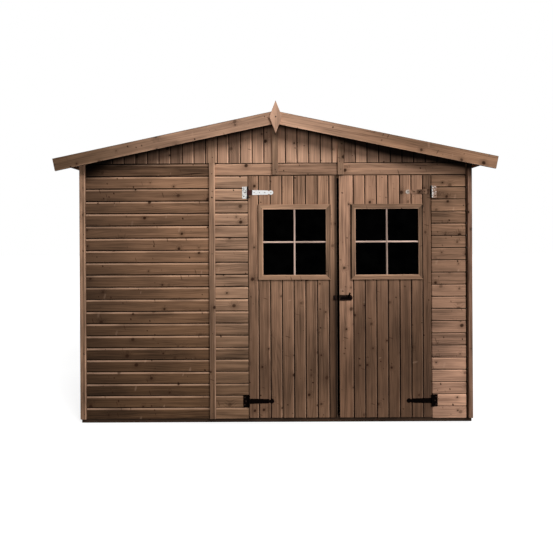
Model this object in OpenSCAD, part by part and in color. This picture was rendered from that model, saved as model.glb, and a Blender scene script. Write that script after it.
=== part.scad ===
// Wooden garden shed: panel built, with a low gabled roof and a pair of boarded doors in the front wall.
// Millimetres, +Z up. The origin is on the ground at the centre of the shed, and the front faces -Y.

/* [Wall panels] */
// Width of one wall panel: three make the front and the rear, two make each side
panel_w = 952; // [900:1:1000]
// Cover width of one cladding board
board_cover = 90.2; // [86:0.1:94]
// Courses of cladding boards up a wall
wall_courses = 21; // [20:1:22]
// Thickness of the cladding
cladding_t = 16; // [12:0.5:20]
// Gap between the ground and the cladding
ground_gap = 30; // [12:1:40]

/* [Frame and floor] */
// Width of a post along its wall
post_w = 45; // [36:1:60]
// Depth of the posts and rails across a wall
frame_d = 45; // [36:1:60]
// Height of the base rails and the floor bearers
sill_h = 45; // [36:1:60]
// Height of the rear top rail
rail_h = 45; // [36:1:60]
// Thickness of the floor boards
floor_t = 16; // [12:0.5:22]

/* [Trims] */
// Thickness of the cover battens and corner trims
trim_t = 20; // [14:0.5:24]
// Width of a cover batten
batten_w = 43; // [34:1:60]
// Width of the broad gable batten over the left panel joint
broad_batten_w = 64; // [50:1:80]
// Distance of the front joint battens to the right of their joints
batten_shift = 7; // [0:1:12]
// Height of the lower ends of the trims above the edge of the cladding
trim_lift = 4; // [0:1:15]
// Width of a corner trim on the end wall
corner_front_w = 22; // [16:1:40]
// Width of the narrow trim on the end wall at the right front corner
corner_narrow_w = 9; // [8:1:15]
// Width of the open slot between the cladding and that narrow trim
corner_slot_w = 13; // [8:1:16]
// Width of a corner trim on the side wall
corner_side_w = 45; // [36:1:70]

/* [Roof] */
// Slope of the roof in degrees
roof_pitch = 11.8; // [9:0.1:15]
// Height of a wall plate at the outer face of the wall
plate_h = 37; // [25:1:60]
// Distance from the side cladding out to the face of the eave fascia
eave_overhang = 152; // [100:1:220]
// Distance from the end cladding out to the back of the bargeboards
gable_overhang = 122; // [80:1:180]
// Thickness of the roof boards
roof_board_t = 18; // [14:0.5:24]
// Thickness of the roofing felt
felt_t = 3; // [2:0.5:5]
// Width and height of the ridge purlin and the side purlins
purlin_s = 45; // [36:1:60]
// Width of the bargeboards
bargeboard_w = 90; // [70:1:120]
// Thickness of the bargeboards, fascias and finials
fascia_t = 18; // [14:0.5:24]
// Height of the eave fascias
fascia_h = 32; // [28:1:90]
// Distance that the upper end corner of a bargeboard stands past the fascia
bargeboard_end = 20; // [5:1:40]
// Width of a finial
finial_w = 92; // [60:1:130]
// Height of a finial
finial_h = 234; // [170:1:300]
// Distance of the finials to the right of the ridge
finial_shift = 5; // [0:1:15]

/* [Doors] */
// Width of the cladding at the left of the doorway
strip_w = 270; // [240:1:300]
// Width of the wall at the right of the doorway
right_strip_w = 276; // [240:1:300]
// Height of the boards over the doorway
header_h = 91; // [80:1:100]
// Gap round the doors at the hinges and the head
door_gap = 6; // [6:0.5:8]
// Gap between the two doors
meeting_gap = 18; // [12:1:20]
// Distance of the meeting gap to the left of the middle of the doorway
meeting_shift = 12; // [0:1:30]
// Height of the lower edge of the doors above the ground
door_ground_gap = 38; // [25:1:45]
// Thickness of the door boards
door_t = 16; // [14:0.5:22]
// Gap between the back of the doors and the frame
door_clear = 5; // [5:0.5:10]
// Distance that the frame laps behind the edges of the doors
door_stop = 16; // [10:1:24]
// Width of the ledges and braces on the back of the doors
ledge_w = 90; // [60:1:100]
// Thickness of the ledges and braces
ledge_t = 28; // [18:1:36]
// Distance from the end of a ledge to the edge of the frame or door
ledge_inset = 24; // [15:1:40]

/* [Windows] */
// Width of the left door that is left over on each side by a window's glass, if it lies in the middle
window_margin = 94.5; // [85:0.5:120]
// Height of the glass in view
window_h = 485; // [400:1:500]
// Distance from the door head down to the glass
window_drop = 248; // [235:1:300]
// Distance of the windows to the right of the middle of each door
window_shift = 13; // [0:1:15]
// Width of the mitred window trims
window_trim_w = 36; // [25:1:40]
// Thickness of the window trims
window_trim_t = 16; // [10:0.5:20]
// Width of the rebate that holds the glass
rebate = 10; // [6:0.5:14]
// Thickness of the glass
glass_t = 4; // [3:0.5:6]

/* [Hinges] */
// Distance from a hinge's centre to the nearer end of the door
hinge_inset = 123; // [115:1:150]
// Width of a hinge plate
hinge_plate_w = 40; // [34:1:60]
// Height of a hinge plate
hinge_plate_h = 88; // [76:1:100]
// Distance from the pin to the centre of the strap's round end
strap_l = 170; // [140:1:220]
// Height of the strap at the knuckle
strap_root_h = 38; // [34:0.5:44]
// Height of the strap at its shoulder
strap_shoulder_h = 31; // [26:0.5:33]
// Height of the strap at its neck
strap_neck_h = 18; // [10:0.5:20]
// Diameter of the strap's round end
strap_end_d = 33; // [28:0.5:36]
// Thickness of the hinge straps and plates
metal_t = 3; // [2.5:0.25:4]
// Diameter of a hinge knuckle
knuckle_d = 12; // [11:0.5:14]
// Diameter of a hinge pin
pin_d = 6; // [4:0.5:6]

/* [Latch] */
// Height of the latch above the ground
latch_z = 923; // [880:1:950]
// Length of the latch plate
latch_l = 96; // [92:1:110]
// Height of the latch plate
latch_h = 42; // [34:1:50]
// Diameter of the sliding bolt
bolt_d = 10; // [8:0.5:11]
// Distance from the bolt's knob to the edge of the right door
knob_x = 65; // [64:0.5:70]
// Length of the bolt's knob
knob_l = 46; // [30:1:50]
// Width of the keeper's loop along the bolt
keeper_w = 20; // [12:1:22]

/* [Hidden] */
$fa = 6;
$fs = 0.5;

// Hairline between neighbouring boards of one node
fit = 0.4;
// Clearance under sloped and plumb-cut seats in the roof
seat = 0.3;
// Depth to which a loop or guide is let into its plate
sink = 0.5;
// Distance of the knuckles from the ends of a hinge plate, and reach of the pin past them
knuckle_inset = 1;
pin_over = 1.5;
// Running clearance at the hinge pins
pin_fit = 0.3;

half_w = 1.5 * panel_w;
frame_x = half_w - cladding_t;
inner_x = frame_x - frame_d;
frame_y = panel_w;
inner_y = frame_y - frame_d;
half_d = frame_y + cladding_t;
wall_top = ground_gap + wall_courses * board_cover;
trim_z = ground_gap + trim_lift;
face_y = half_d + trim_t;
slot_x = half_w - corner_narrow_w - corner_slot_w;
joint_x = panel_w / 2;

roof_y = half_d + gable_overhang;
eave_x = half_w + eave_overhang - fascia_t;
barge_x = eave_x + fascia_t + bargeboard_end;
purlin_x = half_w / 2;
rise = tan(roof_pitch);
lean = cos(roof_pitch);
notch_w = purlin_s + 2 * fit;

door_x0 = strip_w - joint_x;
door_x1 = half_w - right_strip_w;
header_z = wall_top - header_h;
door_top = header_z - door_gap;
lintel_z = door_top - door_stop;
meeting_x = (door_x0 + door_x1) / 2 - meeting_shift;
left_leaf = [door_x0 + door_gap, meeting_x - meeting_gap / 2];
right_leaf = [meeting_x + meeting_gap / 2, door_x1 - door_gap];
door_back = frame_y + door_clear;
door_front = door_back + door_t;
window_w = left_leaf[1] - left_leaf[0] - 2 * window_margin;
window_z = door_top - window_drop - window_h / 2;
cut_w = window_w + 2 * rebate;
cut_h = window_h + 2 * rebate;

axis_off = knuckle_d / 2 + 0.5;
axis_y = door_front + axis_off;
plate_off = axis_y - half_d;
left_axis_x = door_x0 + door_gap / 2;
right_axis_x = door_x1 - door_gap / 2;
hinge_top_z = door_top - hinge_inset;
hinge_low_z = door_ground_gap + hinge_inset;
knuckle_gap = 0.5;

bolt_gap = 2.5;
bolt_out = metal_t + bolt_gap + bolt_d / 2;
bolt_fit = 0.4;
guide_w = 8;
guide_wall = 3.5;
guide_d = bolt_d + 2 * guide_wall;
guide_inset = 1;
guide_x = [guide_inset, latch_l - guide_w - guide_inset];
plate_inset = 1;
plate_corner = 12;
knob_lean = 30;
knob_turn = 12;
knob_d = bolt_d + 2;
keeper_x = 4;
keeper_fit = 1.5;
keeper_wall = 3;
keeper_lip = 4;
keeper_inset = 3;

// Heights of the roof layers at a distance x from the ridge
function roof_under(x) = wall_top + plate_h + (half_w - abs(x)) * rise;
function roof_top(x) = roof_under(x) + roof_board_t / lean;
function felt_under(x) = roof_top(x) + seat;
function felt_top(x) = felt_under(x) + felt_t / lean;
function purlin_under(x) = roof_under(x) - seat - purlin_s;
function middle(leaf) = (leaf[0] + leaf[1]) / 2;
function window_x(leaf) = middle(leaf) + window_shift;

// Squared timber between two corners
module timber(x, y, z) {
    translate([x[0], y[0], z[0]])
        cube([x[1] - x[0], y[1] - y[0], z[1] - z[0]]);
}

// Profile drawn in x and z, run from y[0] to y[1]
module run_y(y) {
    translate([0, y[1], 0])
        rotate([90, 0, 0])
            linear_extrude(y[1] - y[0])
                children();
}

// Upright board from z0 to the underside of the roof, from x[0] to x[1]
module under_roof(x, z0) {
    polygon([[x[0], z0], [x[1], z0], [x[1], roof_under(x[1]) - seat], [x[0], roof_under(x[0]) - seat]]);
}

// The piece and its copy on the rear wall
module ends() {
    children();
    mirror([0, 1, 0])
        children();
}

// The piece and its copy on the left side
module sides() {
    children();
    mirror([1, 0, 0])
        children();
}

/* Base and floor */
// Rails under the walls. Those of the end walls run on under the corner trims
module base_rails() {
    tail_x = half_w + trim_t;
    color("#4b382b") {
        ends() {
            timber([-frame_x, frame_x], [-frame_y, -inner_y], [0, sill_h]);
            timber([-tail_x, tail_x], [-frame_y, -inner_y], [0, ground_gap - fit]);
        }
        sides()
            timber([inner_x, frame_x], [-inner_y + fit, inner_y - fit], [0, sill_h]);
    }
}

module floor_bearers() {
    bearer_x = (inner_x - post_w) / 2;
    color("#6b5340")
        for (i = [-2 : 2])
            translate([i * bearer_x, 0, 0])
                timber([-post_w / 2, post_w / 2], [fit - inner_y, inner_y - fit], [0, sill_h]);
}

module floor_deck() {
    color("#a98c6c")
        timber([fit - inner_x, inner_x - fit], [fit - inner_y, inner_y - fit], [sill_h, sill_h + floor_t]);
}

/* Wall frames */
module wall_post(x, y, z1) {
    timber([x - post_w / 2, x + post_w / 2], [y, y + frame_d], [sill_h, z1]);
}

// Post in the corner of two wall frames
module corner_post() {
    timber([inner_x, frame_x], [-frame_y, -inner_y], [sill_h, wall_top]);
}

module end_wall_posts() {
    color("#8a6a50") {
        sides()
            ends()
                corner_post();
        for (x = [-panel_w, -joint_x])
            wall_post(x, -frame_y, lintel_z);
        wall_post(left_leaf[0] + door_stop - post_w / 2, -frame_y, lintel_z);
        wall_post(right_leaf[1] - door_stop + post_w / 2, -frame_y, lintel_z);
        for (i = [-2 : 2])
            wall_post(i * joint_x, inner_y, wall_top - rail_h);
    }
}

module side_wall_posts() {
    color("#8a6a50")
        sides()
            for (y = [-joint_x, 0, joint_x])
                timber([inner_x, frame_x], [y - post_w / 2, y + post_w / 2], [sill_h, wall_top]);
}

module end_wall_rails() {
    color("#8a6a50") {
        timber([-inner_x, inner_x], [-frame_y, -inner_y], [lintel_z, wall_top]);
        timber([-inner_x, inner_x], [inner_y, frame_y], [wall_top - rail_h, wall_top]);
    }
}

module wall_plates() {
    color("#8a6a50")
        sides()
            run_y([-roof_y, roof_y])
                under_roof([inner_x, half_w], wall_top);
}

// Posts in the gables, as wide as the purlins that they carry
module gable_posts() {
    color("#8a6a50")
        ends()
            for (x = [-purlin_x, 0, purlin_x])
                timber([x - purlin_s / 2, x + purlin_s / 2], [-frame_y, -inner_y],
                    [wall_top, purlin_under(x) - seat]);
}

/* Cladding */
module front_board(x, z) {
    timber(x, [-half_d, -frame_y], z);
}

module front_left_cladding() {
    color("#69503d")
        front_board([-half_w, -joint_x], [ground_gap, wall_top]);
}

module front_strip_cladding() {
    color("#7e614d") {
        front_board([-joint_x, door_x0], [ground_gap, header_z]);
        front_board([door_x1, slot_x], [ground_gap, header_z]);
    }
}

module front_header_cladding() {
    color("#a27e68") {
        front_board([-joint_x, joint_x - fit], [header_z, wall_top]);
        front_board([joint_x, slot_x], [header_z, wall_top]);
    }
}

// Four upright boarded panels, notched over the purlins
module gable_panels() {
    run_y([-half_d, -frame_y])
        sides()
            difference() {
                union() {
                    under_roof([fit / 2, joint_x - fit / 2], wall_top);
                    under_roof([joint_x + fit / 2, inner_x], wall_top);
                }
                for (x = [0, purlin_x])
                    translate([x - notch_w / 2, purlin_under(x) - fit])
                        square([notch_w, 2 * purlin_s]);
            }
}

module front_gable_cladding() {
    color("#876755")
        gable_panels();
}

module rear_cladding() {
    color("#69503d")
        for (i = [-1 : 1])
            timber([(i - 0.5) * panel_w + fit / 2, (i + 0.5) * panel_w - fit / 2],
                [frame_y, half_d], [ground_gap, wall_top]);
}

module rear_gable_cladding() {
    color("#876755")
        mirror([0, 1, 0])
            gable_panels();
}

module side_panels() {
    ends()
        timber([frame_x, half_w], [-frame_y, -fit / 2], [ground_gap, wall_top]);
}

module left_cladding() {
    color("#69503d")
        mirror([1, 0, 0])
            side_panels();
}

module right_cladding() {
    color("#69503d")
        side_panels();
}

/* Trims */
// Trim on the end wall at the right rear corner
module end_corner_trim() {
    timber([half_w - corner_front_w, half_w - fit], [half_d, face_y], [trim_z, wall_top]);
}

// At the right front corner the trim leaves a slot beside the ends of the boards
module corner_trims() {
    color("#7d604c") {
        sides()
            ends()
                timber([half_w, half_w + trim_t], [-face_y, corner_side_w - face_y], [trim_z, wall_top]);
        sides()
            end_corner_trim();
        rotate(180)
            end_corner_trim();
        timber([half_w - corner_narrow_w, half_w - fit], [-face_y, -frame_y], [trim_z, wall_top]);
    }
}

module ridge_batten(z0) {
    translate([-batten_w / 2, z0])
        square([batten_w, purlin_under(0) - seat - z0]);
}

// A full-height batten with a broad one over it at the left joint, and short ones over the doors
module front_cover_battens() {
    left_x = batten_shift - joint_x - batten_w / 2;
    right_x = batten_shift + joint_x - batten_w / 2;
    broad_x = left_x - (broad_batten_w - batten_w) / 4;
    y = [-half_d - trim_t, -half_d];
    color("#72584a") {
        timber([left_x, left_x + batten_w], y, [trim_z, wall_top - fit]);
        run_y(y) {
            under_roof([broad_x, broad_x + broad_batten_w], wall_top);
            under_roof([right_x, right_x + batten_w], header_z);
            ridge_batten(header_z);
        }
    }
}

module rear_cover_battens() {
    color("#72584a")
        run_y([half_d, half_d + trim_t]) {
            sides()
                under_roof([joint_x - batten_w / 2, joint_x + batten_w / 2], trim_z);
            ridge_batten(wall_top);
        }
}

module side_cover_battens() {
    color("#72584a")
        sides()
            timber([half_w, half_w + trim_t], [-batten_w / 2, batten_w / 2], [trim_z, wall_top]);
}

/* Roof */
module roof_purlins() {
    half_s = purlin_s / 2;
    color("#8a6a50")
        run_y([-roof_y, roof_y]) {
            polygon([
                [-half_s, purlin_under(0)], [half_s, purlin_under(0)],
                [half_s, roof_under(half_s) - seat], [0, roof_under(0) - seat],
                [-half_s, roof_under(half_s) - seat],
            ]);
            sides()
                under_roof([purlin_x - half_s, purlin_x + half_s], purlin_under(purlin_x));
        }
}

module roof_slope() {
    run_y([-roof_y, roof_y])
        polygon([
            [0, roof_under(0)], [eave_x, roof_under(eave_x)],
            [eave_x, roof_top(eave_x)], [0, roof_top(0)],
        ]);
}

module left_roof_boards() {
    color("#94745a")
        mirror([1, 0, 0])
            roof_slope();
}

module right_roof_boards() {
    color("#94745a")
        roof_slope();
}

module roof_felt() {
    edge_x = eave_x + fascia_t;
    color("#3c3d3f")
        run_y([-roof_y, roof_y])
            sides()
                polygon([[fit / 2, felt_under(fit / 2)], [edge_x, felt_under(edge_x)],
                    [edge_x, felt_top(edge_x)], [fit / 2, felt_top(fit / 2)]]);
}

module eave_fascias() {
    edge_x = eave_x + fascia_t;
    low_z = roof_top(edge_x) - fascia_h;
    color("#8e6f58")
        run_y([-roof_y, roof_y])
            sides()
                polygon([
                    [eave_x, low_z], [edge_x, low_z],
                    [edge_x, roof_top(edge_x)], [eave_x, roof_top(eave_x)],
                ]);
}

// Plumb cut at the ridge, square cut at the eave
module bargeboard_pair() {
    run_y([-roof_y - fascia_t, -roof_y])
        sides()
            polygon([
                [fit / 2, felt_top(fit / 2) - bargeboard_w / lean],
                [barge_x - bargeboard_w * sin(roof_pitch), felt_top(barge_x) - bargeboard_w * lean],
                [barge_x, felt_top(barge_x)],
                [fit / 2, felt_top(fit / 2)],
            ]);
}

module front_bargeboards() {
    color("#b59580")
        bargeboard_pair();
}

module rear_bargeboards() {
    color("#b59580")
        mirror([0, 1, 0])
            bargeboard_pair();
}

module gable_finials() {
    color("#ba947e")
        ends()
            translate([finial_shift, 0, felt_top(0) - bargeboard_w / lean / 2])
                run_y([-roof_y - 2 * fascia_t, -roof_y - fascia_t])
                    polygon([[0, -finial_h / 2], [finial_w / 2, 0], [0, finial_h / 2], [-finial_w / 2, 0]]);
}

/* Doors */
module door_boards(leaf) {
    y = [-door_front, -door_back];
    x0 = window_x(leaf) - cut_w / 2;
    x1 = window_x(leaf) + cut_w / 2;
    timber([leaf[0], x0], y, [door_ground_gap, door_top]);
    timber([x1, leaf[1]], y, [door_ground_gap, door_top]);
    timber([x0 + fit, x1 - fit], y, [door_ground_gap, window_z - cut_h / 2]);
    timber([x0 + fit, x1 - fit], y, [window_z + cut_h / 2, door_top]);
}

// Three ledges and a diagonal brace; the brace rises from the hinge side, which is at x[0] where way is 1
module door_ledges(x, way) {
    y = [-door_back, -door_back + ledge_t];
    mid_z = window_z - window_h / 2 - window_trim_w - ledge_w;
    low_z = hinge_low_z - ledge_w / 2;
    foot = way > 0 ? x[0] : x[1];
    head = way > 0 ? x[1] : x[0];
    timber(x, y, [low_z, low_z + ledge_w]);
    timber(x, y, [mid_z, mid_z + ledge_w]);
    timber(x, y, [hinge_top_z - ledge_w / 2, hinge_top_z + ledge_w / 2]);
    run_y(y)
        polygon([
            [foot, low_z + ledge_w + fit], [foot + way * ledge_w, low_z + ledge_w + fit],
            [head, mid_z - fit], [head - way * ledge_w, mid_z - fit],
        ]);
}

// Four mitred lengths of width w round an opening of sx by sz
module mitred_ring(sx, sz, w) {
    for (i = [0 : 3]) {
        along = (i % 2 == 0) ? sx : sz;
        across = (i % 2 == 0) ? sz : sx;
        outer = along / 2 + w - fit;
        inner = along / 2 - fit;
        rotate(90 * i)
            translate([0, -across / 2 - w])
                polygon([[-outer, 0], [outer, 0], [inner, w], [-inner, w]]);
    }
}

module window_frame(leaf) {
    translate([window_x(leaf), 0, window_z]) {
        run_y([-door_front - window_trim_t, -door_front])
            mitred_ring(window_w, window_h, window_trim_w);
        run_y([-door_front + glass_t, -door_back])
            mitred_ring(window_w, window_h, rebate - fit);
    }
}

module window_glass(leaf) {
    translate([window_x(leaf), 0, window_z])
        timber([fit - cut_w / 2, cut_w / 2 - fit], [-door_front, -door_front + glass_t],
            [fit - cut_h / 2, cut_h / 2 - fit]);
}

module left_door_boards() {
    color("#73574a")
        door_boards(left_leaf);
}

module left_door_ledges() {
    color("#8a6a50")
        door_ledges([left_leaf[0] + door_stop + ledge_inset, left_leaf[1] - ledge_inset], 1);
}

module left_window_frame() {
    color("#8c6d58")
        window_frame(left_leaf);
}

module left_window_glass() {
    color("#101214")
        window_glass(left_leaf);
}

module right_door_boards() {
    color("#7b5d4e")
        door_boards(right_leaf);
}

module right_door_ledges() {
    color("#8a6a50")
        door_ledges([right_leaf[0] + ledge_inset, right_leaf[1] - door_stop - ledge_inset], -1);
}

module right_window_frame() {
    color("#8c6d58")
        window_frame(right_leaf);
}

module right_window_glass() {
    color("#101214")
        window_glass(right_leaf);
}

/* Hinges: the pin is on the z axis, and the strap runs to +x where way is 1 */
module strap_outline() {
    root = strap_root_h / 2;
    shoulder = strap_shoulder_h / 2;
    neck = strap_neck_h / 2;
    shoulder_x = strap_l - 0.75 * strap_end_d;
    neck_x = strap_l - 0.5 * strap_end_d;
    polygon([[0, -root], [shoulder_x, -shoulder], [neck_x, -neck], [strap_l, -neck],
        [strap_l, neck], [neck_x, neck], [shoulder_x, shoulder], [0, root]]);
    translate([strap_l, 0])
        circle(d = strap_end_d);
}

module hinge_strap(way) {
    difference() {
        union() {
            run_y([axis_off - metal_t, axis_off])
                rotate(way > 0 ? 0 : 180)
                    strap_outline();
            cylinder(h = strap_root_h, d = knuckle_d, center = true);
        }
        cylinder(h = strap_root_h + 2, d = pin_d + 2 * pin_fit, center = true);
    }
}

module hinge_plate() {
    z0 = strap_root_h / 2 + knuckle_gap;
    z1 = hinge_plate_h / 2 - knuckle_inset;
    timber([-door_gap / 2 - hinge_plate_w, -door_gap / 2], [plate_off - metal_t, plate_off],
        [-hinge_plate_h / 2, hinge_plate_h / 2]);
    for (side = [0, 1])
        mirror([0, 0, side]) {
            translate([0, 0, z0])
                cylinder(h = z1 - z0, d = knuckle_d);
            timber([knuckle_inset - knuckle_d / 2, -sink], [0, plate_off - metal_t + knuckle_inset],
                [z0 + sink, z1 - sink]);
        }
    cylinder(h = hinge_plate_h + 2 * pin_over, d = pin_d, center = true);
}

module at_left_hinge(z) {
    translate([left_axis_x, -axis_y, z])
        children();
}

module at_right_hinge(z) {
    translate([right_axis_x, -axis_y, z])
        children();
}

module upper_hinge_plates() {
    color("#b9bcbc") {
        at_left_hinge(hinge_top_z)
            hinge_plate();
        at_right_hinge(hinge_top_z)
            mirror([1, 0, 0])
                hinge_plate();
    }
}

module lower_hinge_plates() {
    color("#1f1d1c") {
        at_left_hinge(hinge_low_z)
            hinge_plate();
        at_right_hinge(hinge_low_z)
            mirror([1, 0, 0])
                hinge_plate();
    }
}

module left_upper_hinge_strap() {
    color("#c3c6c6")
        at_left_hinge(hinge_top_z)
            hinge_strap(1);
}

module left_lower_hinge_strap() {
    color("#1f1d1c")
        at_left_hinge(hinge_low_z)
            hinge_strap(1);
}

module right_upper_hinge_strap() {
    color("#6f5a4c")
        at_right_hinge(hinge_top_z)
            hinge_strap(-1);
}

module right_lower_hinge_strap() {
    color("#1f1d1c")
        at_right_hinge(hinge_low_z)
            hinge_strap(-1);
}

/* Latch: x runs from the meeting edge of a door, y from its face and z from the bolt */
module along_x(x0, x1, d) {
    translate([x0, -bolt_out, 0])
        rotate([0, 90, 0])
            cylinder(h = x1 - x0, d = d);
}

module latch_body() {
    half_h = latch_h / 2;
    flat_x = latch_l - plate_corner;
    flat_z = half_h - plate_corner;
    foot = guide_d / 2 - guide_wall / 2;
    color("#2b2624")
        translate([right_leaf[0], -door_front, latch_z])
            difference() {
                union() {
                    run_y([-metal_t, 0])
                        polygon([[plate_inset, -half_h], [flat_x, -half_h], [latch_l, -flat_z],
                            [latch_l, flat_z], [flat_x, half_h], [plate_inset, half_h]]);
                    for (x = guide_x) {
                        along_x(x, x + guide_w, guide_d);
                        timber([x + sink, x + guide_w - sink], [-bolt_out, sink - metal_t], [-foot, foot]);
                    }
                }
                along_x(0, latch_l + 1, bolt_d + 2 * bolt_fit);
            }
}

module latch_bolt() {
    color("#37312e")
        translate([right_leaf[0], -door_front, latch_z]) {
            along_x(plate_inset + 1, latch_l - 1, bolt_d);
            translate([knob_x, -bolt_out, 0])
                rotate([knob_lean, knob_turn, 0])
                    cylinder(h = knob_l, d = knob_d);
        }
}

module latch_keeper() {
    loop = bolt_d / 2 + keeper_fit;
    outer = loop + keeper_wall;
    x = [-keeper_x - keeper_w, -keeper_x];
    half_h = latch_h / 2 - keeper_inset;
    color("#2b2624")
        translate([left_leaf[1], -door_front, latch_z]) {
            timber([x[0] - keeper_lip, x[1] + keeper_lip], [-metal_t, 0], [-half_h, half_h]);
            difference() {
                timber(x, [-bolt_out - outer, sink - metal_t], [-outer, outer]);
                timber([x[0] - 1, x[1] + 1], [-bolt_out - loop, 2], [-loop, loop]);
            }
        }
}

base_rails();
floor_bearers();
floor_deck();
end_wall_posts();
side_wall_posts();
end_wall_rails();
wall_plates();
gable_posts();
front_left_cladding();
front_strip_cladding();
front_header_cladding();
front_gable_cladding();
rear_cladding();
rear_gable_cladding();
left_cladding();
right_cladding();
corner_trims();
front_cover_battens();
rear_cover_battens();
side_cover_battens();
roof_purlins();
left_roof_boards();
right_roof_boards();
roof_felt();
eave_fascias();
front_bargeboards();
rear_bargeboards();
gable_finials();
upper_hinge_plates();
lower_hinge_plates();
left_door_boards();
left_door_ledges();
left_window_frame();
left_window_glass();
left_upper_hinge_strap();
left_lower_hinge_strap();
latch_keeper();
right_door_boards();
right_door_ledges();
right_window_frame();
right_window_glass();
right_upper_hinge_strap();
right_lower_hinge_strap();
latch_body();
latch_bolt();
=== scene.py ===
"""Looks of the wooden garden shed: boards, trims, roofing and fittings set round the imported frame. Metres."""

import math
import random

import bmesh
import bpy
from mathutils import Matrix, Vector


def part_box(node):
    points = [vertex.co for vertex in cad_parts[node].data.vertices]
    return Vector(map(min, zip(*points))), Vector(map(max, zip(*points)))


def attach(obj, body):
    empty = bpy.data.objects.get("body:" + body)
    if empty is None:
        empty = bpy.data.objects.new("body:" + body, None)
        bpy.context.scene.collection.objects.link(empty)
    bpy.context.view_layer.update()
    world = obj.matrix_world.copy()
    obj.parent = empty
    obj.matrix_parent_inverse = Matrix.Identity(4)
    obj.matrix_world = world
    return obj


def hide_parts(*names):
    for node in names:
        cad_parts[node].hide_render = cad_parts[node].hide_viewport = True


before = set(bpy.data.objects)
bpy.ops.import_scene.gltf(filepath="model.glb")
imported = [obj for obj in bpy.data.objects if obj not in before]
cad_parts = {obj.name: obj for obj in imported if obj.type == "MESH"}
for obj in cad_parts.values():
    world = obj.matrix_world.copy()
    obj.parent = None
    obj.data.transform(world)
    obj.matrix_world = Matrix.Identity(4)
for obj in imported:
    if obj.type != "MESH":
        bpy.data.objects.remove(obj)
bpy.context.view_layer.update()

MM = 0.001
X, Y, Z = Vector((1, 0, 0)), Vector((0, 1, 0)), Vector((0, 0, 1))

# Points of the frame are matched on a grid of this many steps to a metre
GRID = 1e5

# Boards: number of courses up a wall, cover of the upright, roof and floor boards
COURSES = 21
UPRIGHT_COVER = 86.4 * MM
ROOF_COVER = 91.0 * MM
FLOOR_COVER = 113.0 * MM
# Shifts of the front gable's joints left and right of the ridge
GABLE_SHIFTS = (5.8 * MM, -7.5 * MM)
# Paleness of the gables' chamfers left and right of the ridge, from wear and a painted highlight
GABLE_PALE = (1.5, 0.6)
# Half way up, the courses left of the doors lie lower by a quarter of this share of the height
SAG = 0.0214
# Tones of single courses, counted from the foot
# The top course left of the doors is dark: painted shade under the roof
LEFT_WALL_TONES = {19: 1.0, 20: -0.3}
RIGHT_STRIP_TONES = {1: 1.5, 10: 1.0}
# Tones of the boards over the doors, from the left
HEADER_TONES = (0.5, -0.2, 0.35)
# Spacing of the rings of points along boards, squared timbers and felt
BOARD_STEP = 0.3
BEAM_STEP = 0.4
FELT_STEP = 0.15

# Edges of the boards
CHAMFER = 7.0 * MM
WIDE_CHAMFER = 11.0 * MM
CHAMFER_DEEP = 5.0 * MM
GROOVE = 6.0 * MM
WIDE_GROOVE = 8.0 * MM
GROOVE_DEEP = 8.5 * MM
LIP = 1.2 * MM
ARRIS = 1.5 * MM
FLANK = 1.2 * MM
HAIR = 0.3 * MM
# Edges of whole walls: groove, chamfer and how pale it is, from wear and a painted highlight
PLAIN_EDGE = (GROOVE, CHAMFER, 1.0)
LEFT_WALL_EDGE = (WIDE_GROOVE, WIDE_CHAMFER, 1.5)
LEFT_STRIP_EDGE = (WIDE_GROOVE, WIDE_CHAMFER, 0.9)
RIGHT_STRIP_EDGE = (GROOVE, CHAMFER, 0.4)

# Trims, bars and sheets
BARGE_W = 90 * MM
CORNER_STRIP = 6 * MM
STRIP_END = 5 * MM
FINIAL_ARRIS = 2 * MM
FINIAL_PULL = 1.6
WINDOW_TRIM_W = 36 * MM
WINDOW_STOP_W = 9.6 * MM
WINDOW_BEVEL = 6 * MM
WINDOW_BEVEL_DEEP = 2 * MM
BAR_W = 13 * MM
BAR_T = 9 * MM
BAR_STEP = 1.5 * MM
FELT_T = 2.6 * MM
FELT_LAP = 75 * MM
FELT_SHEETS = 3
FELT_SEAM = 9 * MM
RIDGE_CAP_W = 150 * MM
RIDGE_CAP_T = 1.4 * FELT_T
RIDGE_LIFT = 1.2 * FELT_T
# A batten whose top is this near to the roof is cut to its slope
ROOF_NEAR = 30 * MM

# Doors: width of the first board, cover of the others, paleness of their chamfers from wear and a painted
# highlight, tones of the boards
DOORS = {
    "left": (77.5 * MM, 87 * MM, 0.6, (0.45, 0.5, 0.7, 0.65, 0.35, 0.3, 0.55, 0.5)),
    "right": (109 * MM, 85.6 * MM, 0.3, (0.5, 0.68, 0.85, 0.9, 0.5, 0.35, 0.4, 0.5)),
}
INNER_BOARDS = 6
# Windows: tone, pale bevel and width of a sunk margin painted dark as shadow, of the bottom, right, top and
# left trims
WINDOW_TRIMS = {
    "left": ((0.85, 0.5, 0), (0.1, 0.3, 0), (0.65, 1, 0), (0.5, 1, 0)),
    "right": ((0.58, 0.6, 0), (-0.25, 0.3, 9 * MM), (0.1, 1, 0), (0.35, 1, 8 * MM)),
}
# Tones of each window's cross bar and upright bar
BAR_TONES = {"left": (0.5, 0.6), "right": (0.55, 0.1)}

# Heads of the fixings as (radius, height), and their spacing
NAIL = [(3.6 * MM, 0), (3.4 * MM, 0.5 * MM), (1.8 * MM, 0.9 * MM), (0.3 * MM, 0.9 * MM)]
FINIAL_NAIL = [(5.5 * MM, 0), (5.0 * MM, 0.5 * MM), (2.6 * MM, 0.9 * MM), (0.4 * MM, 0.9 * MM)]
CLOUT = [(5 * MM, 0), (5 * MM, 0.8 * MM), (3 * MM, 1.4 * MM), (0.4 * MM, 1.6 * MM)]
SCREW = [
    (4.6 * MM, 0), (4.2 * MM, 1.0 * MM), (2.4 * MM, 1.7 * MM), (1.6 * MM, 1.7 * MM), (1.2 * MM, 0.7 * MM),
]
NAIL_STEP = 0.42
NAIL_END = 0.04
CLOUT_STEP = 0.11
CLOUT_INSET = 22 * MM
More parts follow.
